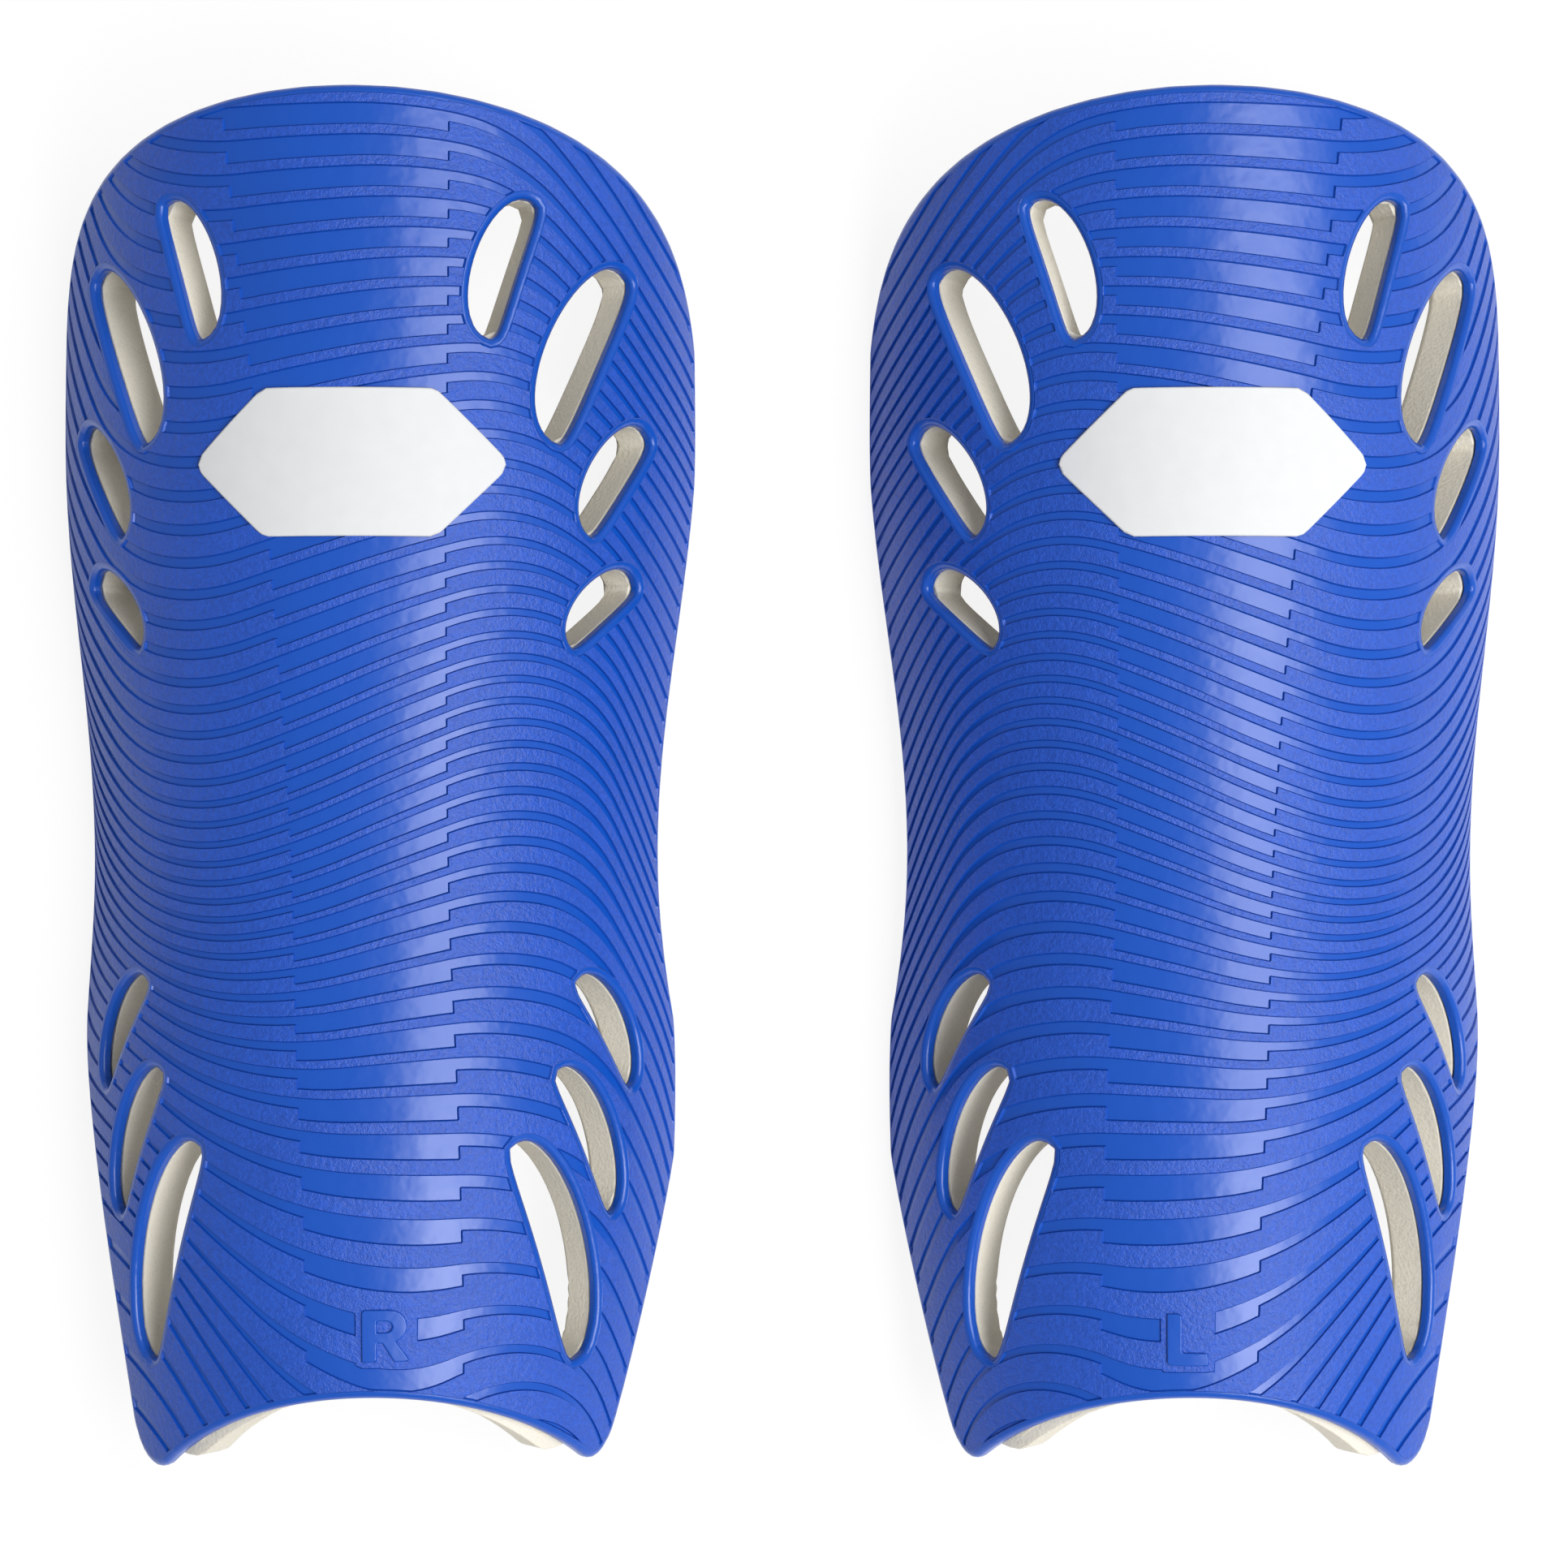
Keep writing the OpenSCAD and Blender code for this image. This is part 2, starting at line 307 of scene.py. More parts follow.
def depth_inside(points, loops):
    """Distance from each point to the nearest line of the loops, negative outside them."""
    a = np.concatenate(loops)
    b = np.concatenate([np.roll(loop, -1, 0) for loop in loops])
    run = b - a
    result = np.empty(len(points))
    for first in range(0, len(points), CHUNK):
        p = points[first : first + CHUNK, None]
        t = np.clip(((p - a) * run).sum(2) / np.maximum((run**2).sum(1), TINY), 0, 1)
        gap = np.sqrt((((p - a) - t[..., None] * run) ** 2).sum(2).min(1))
        result[first : first + CHUNK] = np.where(crossings(p, a, b) % 2 == 1, gap, -gap)
    return result


def inside_rim(points, a, b):
    """Whether each point is inside the rim whose sides run from a to b."""
    result = np.zeros(len(points), bool)
    for first in range(0, len(points), CHUNK):
        result[first : first + CHUNK] = crossings(points[first : first + CHUNK, None], a, b) % 2 == 1
    return result


def vent_place(flat, depth, vent):
    """Flat places seen in a vent's own plane."""
    across = (form_radius(flat[:, 1]) - depth) * np.sin(flat[:, 0] / FLAT_RADIUS - vent[0])
    return np.stack([across, flat[:, 1] - vent[1]], 1)


class Edges:
    """Distances from a layer's edges: its outline, the table and the vents."""

    def __init__(self, loops, has_vents=True, on_table=True):
        self.loops, self.has_vents, self.on_table = loops, has_vents, on_table

    def measure(self, flat, depth):
        """(distance inside the layer, what the nearest edge belongs to)"""
        distance = depth_inside(flat, self.loops)
        owner = np.full(len(flat), OUTLINE)
        if self.on_table:
            radius = form_radius(flat[:, 1]) - depth
            above = (np.arccos(AXIS_DEPTH / radius) - np.abs(flat[:, 0]) / FLAT_RADIUS) * radius
            owner[above < distance] = TABLE
            distance = np.minimum(distance, above)
        if self.has_vents:
            for i, vent in enumerate(VENTS):
                reach = (np.abs(vent[2]).max(0) + VENT_REACH) * REACH_STRETCH
                near = np.flatnonzero((np.abs(flat - (vent[0] * FLAT_RADIUS, vent[1])) < reach).all(1))
                outside = -depth_inside(vent_place(flat[near], depth, vent), [vent[2]])
                closer = outside < distance[near]
                owner[near[closer]] = i
                distance[near[closer]] = outside[closer]
        return distance, owner

    def slope(self, flat, depth):
        """Flat direction into the layer, away from its nearest edge."""
        step = 0.05
        parts = [
            self.measure(flat + shift, depth)[0] - self.measure(flat - shift, depth)[0]
            for shift in (np.array([step, 0.0]), np.array([0.0, step]))
        ]
        direction = np.stack(parts, 1)
        return direction / np.maximum(np.linalg.norm(direction, axis=1), TINY)[:, None]

    def through(self, flat, owner, depth, to_depth):
        """The same places on the edges, deeper in the layer.

        Vents are cut straight, the table is level, and the outline runs toward the axis.
        """
        moved = flat.copy()
        radius, deeper = form_radius(flat[:, 1]) - depth, form_radius(flat[:, 1]) - to_depth
        level = owner == TABLE
        limit = np.arccos(AXIS_DEPTH / deeper) * FLAT_RADIUS
        moved[level, 0] = (np.sign(flat[:, 0]) * limit)[level]
        for i, vent in enumerate(VENTS):
            mine = owner == i
            across = radius[mine] * np.sin(flat[mine, 0] / FLAT_RADIUS - vent[0])
            moved[mine, 0] = (vent[0] + np.arcsin(across / deeper[mine])) * FLAT_RADIUS
        if self.on_table:
            moved[:, 0] = np.clip(moved[:, 0], -limit, limit)
        return moved


# ---------------------------------------------------------------- ribs

# Direction of the ribs in degrees: a row for the ribs that cross the ridge at each height, with columns
# across the guard
COURSE_COLUMNS = (-66, -50, -34, -17, 0, 17, 34, 50, 66)
COURSE_HEIGHTS = (-125, -65, -5, 55, 115)
COURSE_DEGREES = (
    (-20, -20, -50, -55, -30, 45, -10, -60, -60),
    (-15, -20, -30, -20, -5, 0, -20, -50, -50),
    (-40, -30, -10, 14, 24, 21, -10, -50, -50),
    (-45, -50, -15, 15, 15, 10, -30, -40, -30),
    (-55, -50, -20, 0, 0, -10, -45, -45, -30),
)
# Distance between ribs at heights on the ridge
PITCH_HEIGHTS, PITCHES = (-95, -75, -45, -15, 5, 55), (8.4, 8.0, 5.1, 3.6, 3.6, 5.15)
FIRST_RIB, TOP_RIB, LOW_RIB = 109.4, 166.0, -182.0
# Where a groove steps from narrow to wide and back: places across at heights
OUTER_STEP = ((-70, 0, 54, 109), (-7.8, -10.6, -12.9, -20.5))
INNER_STEP = ((-92, -30, 40, 109), (19.0, 16.4, 14.7, 15.4))
# Widths of the narrow and wide grooves as shares of that distance, at heights on the ridge
SHARE_HEIGHTS, NARROW, WIDE = (-85, -50), (0.22, 0.33), (0.44, 0.67)
# Width of a groove's side walls, and how far the ribs reach from the ridge
WALL = 0.22
REACH = 82.0
COURSE_REACH = 90


def through_values(places, values, at):
    """A smooth curve through evenly spaced values (Catmull-Rom), flat beyond the ends."""
    values = np.asarray(values, float)
    s = np.clip((at - places[0]) / (places[-1] - places[0]) * (len(places) - 1), 0, len(places) - 1)
    i = np.minimum(s.astype(int), len(places) - 2)
    t = (s - i)[..., None]
    padded = np.concatenate([values[:1], values, values[-1:]])
    a, b, c, d = (padded[i + k] for k in range(4))
    return 0.5 * (2 * b + (c - a) * t + (2 * a - 5 * b + 4 * c - d) * t**2 + (3 * b - a - 3 * c + d) * t**3)


def course(u, height):
    """Height of a rib above its place on the ridge, found by adding up its direction from the ridge."""
    columns = np.linspace(-COURSE_REACH, COURSE_REACH, 2 * COURSE_REACH + 1)
    degrees = through_values(COURSE_HEIGHTS, COURSE_DEGREES, height)  # one row of columns for each rib
    spread = np.stack([np.interp(columns, COURSE_COLUMNS, row) for row in degrees])
    step = np.tan(np.radians(spread))
    rise = np.cumsum((step[:, 1:] + step[:, :-1]) / 2, 1)
    total = np.concatenate([np.zeros((len(step), 1)), rise], 1)
    total -= total[:, COURSE_REACH : COURSE_REACH + 1]
    return np.stack([np.interp(u[i], columns, total[i]) for i in range(len(u))])


def rib_heights():
    """Heights of all ribs on the ridge, from the top down."""
    heights = [FIRST_RIB]
    while heights[0] < TOP_RIB:
        heights.insert(0, heights[0] + np.interp(heights[0], PITCH_HEIGHTS, PITCHES))
    while heights[-1] > LOW_RIB:
        heights.append(heights[-1] - np.interp(heights[-1], PITCH_HEIGHTS, PITCHES))
    return np.array(heights)


def rib_grid(column_width):
    """Grid whose rows are the ribs' own edges. Gives flat places and the groove's depth, from 0 to 1."""
    heights = rib_heights()
    rows, levels = [], []  # places along the ridge, and (outside the steps, between the steps)
    for high, low in zip(heights[:-1], heights[1:]):
        pitch = high - low
        narrow, wide = (pitch * np.interp(high, SHARE_HEIGHTS, shares) for shares in (NARROW, WIDE))
        for below, level in (
            (0, (0, 0)),
            (WALL, (1, 1)),
            (narrow, (1, 1)),
            (narrow + WALL, (0, 1)),
            (wide, (0, 1)),
            (wide + WALL, (0, 0)),
        ):
            rows.append(high + narrow - below)
            levels.append(level)
    rows, levels = np.array(rows), np.array(levels, float)
    outer, inner = np.interp(rows, *OUTER_STEP)[:, None], np.interp(rows, *INNER_STEP)[:, None]
    half = WALL / 2

    def strip(start, end):
        columns = round(float(np.mean(end - start)) / column_width)
        return start + (end - start) * np.linspace(0, 1, columns + 1)

    parts = [strip(-REACH, outer - half), strip(outer + half, inner - half), strip(inner + half, REACH)]
    u = np.concatenate(parts, 1)
    middle = np.concatenate([np.full(p.shape[1], i == 1) for i, p in enumerate(parts)])
    y = rows[:, None] + course(u, rows)
    return u, y, np.where(middle, levels[:, 1:], levels[:, :1])


def plain_grid(loops, spacing):
    """Even grid over the loops, with no grooves."""
    corners = np.concatenate(loops)
    low, high = corners.min(0) - spacing, corners.max(0) + spacing
    count = np.ceil((high - low) / spacing).astype(int) + 1
    u, y = np.meshgrid(*(np.linspace(*ends) for ends in zip(low, high, count)))
    return u, y, np.zeros_like(u)


# ---------------------------------------------------------------- meshes cut along distances

# Columns of the vertex data, after the flat place
GROOVE, EDGE, ROOM = 2, 3, 4
# Distance and room of places that are this far outside the box round a layer
FAR, FAR_MARGIN = -9.0, 3
# Shares of a lip's width where the mesh is cut, and the share within which a vertex is taken as on a cut
LIP_CUTS = (0, 0.03, 0.13, 0.32, 0.6, 1)
LIP_SNAP = 0.012
# A lip's shine runs out at this share of its width, within this share
SHINE_END, SHINE_FADE = 1.12, 0.12
# Shares of the back lip's width with a row of points, the share of its distance that a point must keep
# from other edges, and the spacing of the points between them
BACK_ROWS = (0.13, 0.45, 1)
ROW_ROOM = 0.7
BACK_SPACING = 3.2
# Share of a groove's depth over which a triangle is part of its side walls
STEEP = 0.02
# Width and height of the small rounded edges, and the cells of the grids without grooves
SHELL_BACK_LIP = (0.3, 0.2)
BADGE_LIP = (0.35, 0.25)
LETTER_LIP = (0.25, 0.2)
HIDDEN_LIP = (0.1, 0.05)
FOAM_CELL, BADGE_CELL, LETTER_CELL = 2.4, 1.5, 0.5


def cut_along(data, faces, column, level, snap=0.03):
    """Cuts triangles where a column of the data passes a level. Vertices within snap are taken as on it."""
    value = data[:, column] - level
    data[np.abs(value) < snap, column] = level
    value = data[:, column] - level
    sign = np.sign(value)
    corner_signs = sign[faces]
    crossed = corner_signs * np.roll(corner_signs, -1, 1) < 0
    hit = crossed.any(1)
    kept, faces, crossed = faces[~hit], faces[hit], crossed[hit]
    if not len(faces):
        return data, kept
    ends = np.sort(np.stack([faces, np.roll(faces, -1, 1)], 2), 2)
    keys, index = np.unique(ends[crossed].reshape(-1, 2), axis=0, return_inverse=True)
    a, b = value[keys[:, 0]], value[keys[:, 1]]
    share = (a / (a - b))[:, None]
    fresh = data[keys[:, 0]] * (1 - share) + data[keys[:, 1]] * share
    fresh[:, column] = level
    new = np.full(crossed.shape, -1)
    new[crossed] = len(data) + index.ravel()
    pieces = [kept]
    one = crossed.sum(1) == 1
    for turn in range(3):
        f, n = np.roll(faces, -turn, 1), np.roll(new, -turn, 1)
        # the only crossed side is b to c
        mine = one & (n[:, 1] >= 0)
        pieces += [
            np.stack([f[mine, 0], f[mine, 1], n[mine, 1]], 1),
            np.stack([f[mine, 0], n[mine, 1], f[mine, 2]], 1),
        ]
        # sides a to b and c to a are crossed
        mine = ~one & (n[:, 0] >= 0) & (n[:, 2] >= 0) & (n[:, 1] < 0)
        pieces += [
            np.stack([f[mine, 0], n[mine, 0], n[mine, 2]], 1),
            np.stack([n[mine, 0], f[mine, 1], f[mine, 2]], 1),
            np.stack([n[mine, 0], f[mine, 2], n[mine, 2]], 1),
        ]
    return np.concatenate([data, fresh]), np.concatenate(pieces)


def grid_faces(u, y):
    """Two triangles for each cell of a grid, split along its shorter diagonal."""
    rows, columns = u.shape
    index = np.arange(rows * columns).reshape(rows, columns)
    a, b, c, d = index[:-1, :-1], index[:-1, 1:], index[1:, 1:], index[1:, :-1]
    place = np.stack([u, y], 2)
    a_to_c = np.linalg.norm(place[:-1, :-1] - place[1:, 1:], axis=2)
    b_to_d = np.linalg.norm(place[:-1, 1:] - place[1:, :-1], axis=2)
    straight = (a_to_c <= b_to_d)[..., None]
    first = np.where(straight, np.stack([a, b, c], 2), np.stack([a, b, d], 2))
    second = np.where(straight, np.stack([a, c, d], 2), np.stack([b, c, d], 2))
    return np.concatenate([first.reshape(-1, 3), second.reshape(-1, 3)])


def upward(flat, faces):
    """Faces turned so that they run anticlockwise on the flat guard."""
    a, b, c = (flat[faces[:, i]] for i in range(3))
    area = (b[:, 0] - a[:, 0]) * (c[:, 1] - a[:, 1]) - (b[:, 1] - a[:, 1]) * (c[:, 0] - a[:, 0])
    faces = np.where((area < 0)[:, None], faces[:, ::-1], faces)
    return faces[np.abs(area) > NO_AREA]


def rounding(distance, width, drop_height):
    """How far a rounded edge has fallen at a distance, and how much its normal leans out, from 0 to 1."""
    s = np.clip(1 - distance / width, 0, 1)
    return drop_height * (1 - np.sqrt(1 - s**2)), s


def leaning(normals, out, lean):
    """Normals that lean toward the directions out."""
    return normals * np.sqrt(1 - lean**2)[:, None] + out * lean[:, None]


class Sheet:
    """Vertices with their shine, and triangles with their corners' normals, gathered part by part."""

    def __init__(self):
        self.places, self.shine, self.faces, self.normals = [], [], [], []
        self.count = 0

    def add_vertices(self, places, shine):
        """Gives the numbers of the new vertices."""
        self.places.append(places)
        self.shine.append(shine)
        numbers = self.count + np.arange(len(places))
        self.count += len(places)
        return numbers

    def add_faces(self, faces, normals):
        self.faces.append(faces)
        self.normals.append(normals)

    def finish(self, on_table):
        """Vertices, triangles, normals and shine, without unused vertices and triangles with no area."""
        places, faces, normals, shine = (
            np.concatenate(part) for part in (self.places, self.faces, self.normals, self.shine)
        )
        if on_table:
            places[:, 2] = np.maximum(places[:, 2], 0)
        a, b, c = (places[faces[:, i]] for i in range(3))
        good = np.linalg.norm(np.cross(b - a, c - a), axis=1) > NO_AREA
        faces, normals = faces[good], normals[good]
        used, faces = np.unique(faces, return_inverse=True)
        return places[used], faces.reshape(-1, 3), normals, shine[used]


def cut_front(edges, grid, front, lip, room, shine):
    """Vertex data and triangles of a layer's front, cut along its edges, its lips and the room's limits."""
    u, y, mask = grid
    flat = np.stack([u.ravel(), y.ravel()], 1)
    corners = np.concatenate(edges.loops)
    low, high = corners.min(0) - FAR_MARGIN, corners.max(0) + FAR_MARGIN
    near = ((flat > low) & (flat < high)).all(1)
    distance, free = np.full(len(flat), FAR), np.full(len(flat), FAR)
    distance[near] = edges.measure(flat[near], front)[0]
    if room:
        free[near] = room(flat[near], distance[near])
    data = np.stack([flat[:, 0], flat[:, 1], mask.ravel(), distance, free], 1)
    faces = grid_faces(u, y)
    faces = faces[(distance[faces] > 0).any(1)]
    if room:
        for level in (0, 1):
            data, faces = cut_along(data, faces, ROOM, level)
    for share in LIP_CUTS + ((SHINE_END,) if shine else ()):
        data, faces = cut_along(data, faces, EDGE, lip[0] * share, lip[0] * LIP_SNAP)
    faces = faces[data[faces, EDGE].mean(1) > 0]
    used, faces = np.unique(faces, return_inverse=True)
    data, faces = data[used], faces.reshape(-1, 3)
    return data, upward(data[:, :2], faces)


def add_walls(sheet, edges, flat, owner, ring, rim, normals, stops, shine):
    """Walls from a ring of vertices down through the stops. Gives the last ring.

    rim holds the ring's sides, as pairs of places in the ring.
    """
    i, j = rim.T
    for stop in stops[1:]:
        moved = edges.through(flat, owner, stops[0], stop)
        polish = np.full(len(flat), 1.0 if shine else 0.0)
        deeper = sheet.add_vertices(on_form(moved, np.full(len(flat), stop)), polish)
        for corners, at in (
            ((ring[j], ring[i], deeper[i]), (j, i, i)),
            ((ring[j], deeper[i], deeper[j]), (j, i, j)),
        ):
            sheet.add_faces(np.stack(corners, 1), np.stack([normals[k] for k in at], 1))
        ring = deeper
    return ring


def add_back(sheet, edges, flat, ring, rim, back, lip):
    """The back, filled between the walls, with rows of points along them for its rounded edge."""
    inward = edges.slope(flat, back)
    u, y, _ = plain_grid([flat], BACK_SPACING)
    middle = np.stack([u.ravel(), y.ravel()], 1)
    rows = [flat]
    for share in BACK_ROWS:
        row = flat + inward * lip[0] * share
        rows.append(row[edges.measure(row, back)[0] > lip[0] * share * ROW_ROOM])
    rows.append(middle[edges.measure(middle, back)[0] > lip[0] + BACK_SPACING / 4])
    points, _, faces, origin, _, _ = delaunay_2d_cdt(
        [Vector(p) for p in np.concatenate(rows).tolist()], rim.tolist(), [], 0, 1e-5
    )
    points, faces = np.array([tuple(p) for p in points]), np.array([tuple(f) for f in faces])
    faces = faces[inside_rim(points[faces].mean(1), flat[rim[:, 0]], flat[rim[:, 1]])]
    at_rim = np.full(len(points), -1)
    for i, sources in enumerate(origin):
        rims = [s for s in sources if s < len(flat)]
        if rims:
            at_rim[i] = rims[0]
    distance = np.maximum(edges.measure(points, back)[0], 0)
    distance[at_rim >= 0] = 0
    fall, lean = rounding(distance, *lip)
    out = -along_form(points, edges.slope(points, back))
    normals = leaning(-form_normal(points), out, lean)
    vertices = sheet.add_vertices(on_form(points, back - fall), np.zeros(len(points)))
    vertices[at_rim >= 0] = ring[at_rim[at_rim >= 0]]
    faces = upward(points, faces)[:, ::-1]
    sheet.add_faces(vertices[faces], normals[faces])


def layer(edges, grid, front, back, lip, back_lip, groove=0.0, room=None, shine=None):
    """A closed layer between two depths below the form, with rounded edges.

    lip and back_lip are (width, height) of the rounded edges, and room gives the share of the grooves'
    depth that is kept near edges. Returns vertices, triangles, a normal for each triangle's corners and
    the shine of each vertex, which is 1 in grooves, where shine is "edges" on lips too, and where it is
    "all" everywhere in front.
    """
    data, faces = cut_front(edges, grid, front, lip, room, shine)
    flat = data[:, :2]
    sunk = data[:, GROOVE] * np.clip(data[:, ROOM], 0, 1) if room else np.zeros(len(data))
    fall, lean = rounding(data[:, EDGE], *lip)
    places = on_form(flat, front + groove * sunk + fall)
    near = np.flatnonzero(lean > 0)
    out = np.zeros((len(data), 3))
    out[near] = -along_form(flat[near], edges.slope(flat[near], front))
    normals = leaning(form_normal(flat), out, lean)[faces]
    # the grooves' side walls are flat
    a, b, c = (places[faces[:, i]] for i in range(3))
    true = np.cross(b - a, c - a)
    true /= np.maximum(np.linalg.norm(true, axis=1), TINY)[:, None]
    steep = np.ptp(sunk[faces], axis=1) > STEEP
    normals[steep] = true[steep][:, None]
    polish = sunk
    if shine == "edges":
        polish = np.maximum(sunk, np.clip((SHINE_END - data[:, EDGE] / lip[0]) / SHINE_FADE, 0, 1))
    elif shine == "all":
        polish = np.ones(len(data))
    sheet = Sheet()
    sheet.add_vertices(places, polish)
    sheet.add_faces(faces, normals)

    # the walls start at the front's open sides
    sides = np.concatenate([faces[:, [0, 1]], faces[:, [1, 2]], faces[:, [2, 0]]])
    _, index, count = np.unique(np.sort(sides, 1), axis=0, return_index=True, return_counts=True)
    rim = sides[index[count == 1]]
    top = np.unique(rim)
    local = np.full(len(data), -1)
    local[top] = np.arange(len(top))
    rim = local[rim]
    owner = edges.measure(flat[top], front)[1]
    start, end = front + lip[1], back - back_lip[1]
    stops = (start, between(start, end, 0.5), end)
    ring = add_walls(sheet, edges, flat[top], owner, top, rim, out[top], stops, shine)
    back_flat = edges.through(flat[top], owner, start, back)
    add_back(sheet, edges, back_flat, ring, rim, back, back_lip)
    return sheet.finish(edges.on_table)


def make_piece(name, side, built, material):
    """A mesh object from what layer() gives, on its side of the pair."""
    places, faces, normals, shine = built
    flip = flip_of(side)
    places = (places - (GUARD_X, 0, 0)) * (flip, 1, 1) * MM
    normals = normals * (flip, 1, 1)
    if flip < 0:
        faces, normals = faces[:, ::-1], normals[:, ::-1]
    mesh = bpy.data.meshes.new(name)
    mesh.vertices.add(len(places))
    mesh.vertices.foreach_set("co", places.astype(np.float32).ravel())
    mesh.loops.add(faces.size)
    mesh.loops.foreach_set("vertex_index", faces.astype(np.int32).ravel())
    mesh.polygons.add(len(faces))
    mesh.polygons.foreach_set("loop_start", np.arange(0, faces.size, 3, dtype=np.int32))
    mesh.polygons.foreach_set("use_smooth", np.ones(len(faces), bool))
    mesh.update(calc_edges=True)
    mesh.validate()
    mesh.attributes.new("shine", "FLOAT", "POINT").data.foreach_set("value", shine.astype(np.float32))
    lengths = np.maximum(np.linalg.norm(normals, axis=2), TINY)[..., None]
    mesh.normals_split_custom_set((normals / lengths).reshape(-1, 3).tolist())
    mesh.materials.append(material)
    piece = bpy.data.objects.new(name, mesh)
    bpy.context.scene.collection.objects.link(piece)
    return piece


# ---------------------------------------------------------------- materials


class Value:
    """A number or vector in a Tree, so that shader maths reads as plain sums."""

    def __init__(self, tree, socket):
        self.tree, self.socket = tree, socket

    def math(self, operation, other, clamp=False):
        return self.tree.node("Math", {"operation": operation, "use_clamp": clamp}, {0: self, 1: other})

    def __add__(self, other):
        return self.math("ADD", other)

    def __mul__(self, other):
        return self.math("MULTIPLY", other)

    def __sub__(self, other):
        return self.math("SUBTRACT", other)

    def __rsub__(self, other):
        return (self * -1.0).math("ADD", other)

    __radd__, __rmul__ = __add__, __mul__

    def over(self, start, end):
        """0 at start, 1 at end, and held beyond them."""
        return ((self - start) * (1 / (end - start))).math("ADD", 0.0, clamp=True)


def shade(colour, share=1.0):
    """A share of a colour, with its alpha."""
    return (*(share * c for c in colour), 1.0)


class Tree:
    """A node tree that gains nodes by type, settings and sockets."""

    def __init__(self, tree):
        self.tree = tree

    def node(self, kind, settings=None, sockets=None, output=0):
        """Adds a node, sets it up, and gives one of its outputs."""
        node = self.tree.nodes.new("ShaderNode" + kind)
        for name, value in (settings or {}).items():
            setattr(node, name, value)
        for name, value in (sockets or {}).items():
            if isinstance(value, Value):
                self.tree.links.new(value.socket, node.inputs[name])
            else:
                node.inputs[name].default_value = value
        return Value(self, node.outputs[output])


class Look(Tree):
    """A material built round one Principled shader."""

    def __init__(self, name, **constants):
        self.material = bpy.data.materials.new(name)
        self.material.use_nodes = True
        super().__init__(self.material.node_tree)
        self.shader = self.tree.nodes["Principled BSDF"]
        for socket, value in constants.items():
            self.shader.inputs[socket.replace("_", " ")].default_value = value

    def place(self):
        return self.node("TexCoord", output="Object")  # in metres

    def noise(self, size, detail=2.0, roughness=0.5):
        """Noise from 0 to 1 whose patches are about this size in metres."""
        sockets = {"Vector": self.place(), "Scale": 1 / size, "Detail": detail, "Roughness": roughness}
        return self.node("TexNoise", {}, sockets)

    def shine(self):
        return self.node("Attribute", {"attribute_name": "shine"}, output="Fac")

    def mix(self, factor, a, b):
        """A mix of two colours, whose sockets have numbers because their names are shared."""
        return self.node("Mix", {"data_type": "RGBA"}, {0: factor, 6: a, 7: b}, output=2)

    def feed(self, **values):
        for socket, value in values.items():
            self.tree.links.new(value.socket, self.shader.inputs[socket.replace("_", " ")])

    def bump(self, height, distance, strength):
        sockets = {"Height": height, "Distance": distance, "Strength": strength}
        self.feed(Normal=self.node("Bump", {}, sockets))


def shell_look(look):
    """Moulded plastic: smooth glossy grooves and lips, and finely grained lands between them, whose grain has
    painted shade in its hollows.
    """
    out = Look("moulded_plastic", IOR=1.5)
    shine = out.shine()
    patch = out.noise(0.018, 3).over(0.3, 0.7)
    grain = out.noise(0.0008, 3, 0.75)
    # lands darker in the grain's hollows, where the bump is low: painted shade, with random tone from the
    # patches
    grain_shade_and_patches = grain.over(0.38, 0.62) * 0.75 + patch * 0.25
    land = out.mix(grain_shade_and_patches, shade(look.land_colour, 0.74), shade(look.land_colour))
    groove = out.mix(patch, shade(look.groove_colour, 0.96), shade(look.groove_colour))
    rough_land = grain * 0.16 + (look.land_roughness - 0.08)
    out.feed(
        Base_Color=out.mix(shine, land, groove),
        Roughness=look.groove_roughness * shine + (1 - shine) * rough_land + patch * 0.03,
    )
    out.bump(grain * (1 - shine) + out.noise(0.004, 2) * 0.5, distance=0.0003, strength=0.9)
    return out.material


def foam_look(look):
    """Closed-cell foam: off-white, matte, with fine pits whose darkening is painted shade, and a slightly
    uneven skin.
    """
    out = Look("foam_skin", IOR=1.45)
    tone = out.noise(0.012, 3).over(0.3, 0.7)
    pores_and_pit_shade = out.node("TexVoronoi", {"feature": "F1"}, {"Vector": out.place(), "Scale": 1 / 0.0006})
    skin = out.noise(0.0009, 4, 0.6)
    colour = out.mix(tone, shade(look.colour, 0.95), shade(look.colour))
    out.feed(
        # the pits of the bump are darkened: painted shade in them
        Base_Color=out.mix(pores_and_pit_shade.over(0.5, 0.05) * 0.25, colour, shade(look.colour, 0.7)),
        Roughness=skin * 0.12 + 0.78,
    )
    out.bump(pores_and_pit_shade * 0.6 + skin, distance=0.00016, strength=0.6)
    return out.material


def film_look(name, colour, roughness, ripple):
    """Thin film: a smooth sheet with a little unevenness."""
    out = Look(name, IOR=1.48)
    ripples = out.noise(0.003, 3)
    fine = out.noise(0.0004, 2)
    out.feed(
        Base_Color=out.mix(ripples.over(0.3, 0.7), shade(colour, 0.97), shade(colour)),
        Roughness=fine * 0.1 + (roughness - 0.05),
    )
    out.bump(ripples + fine * 0.2, distance=0.0001, strength=ripple)
    return out.material


# ---------------------------------------------------------------- image points and camera

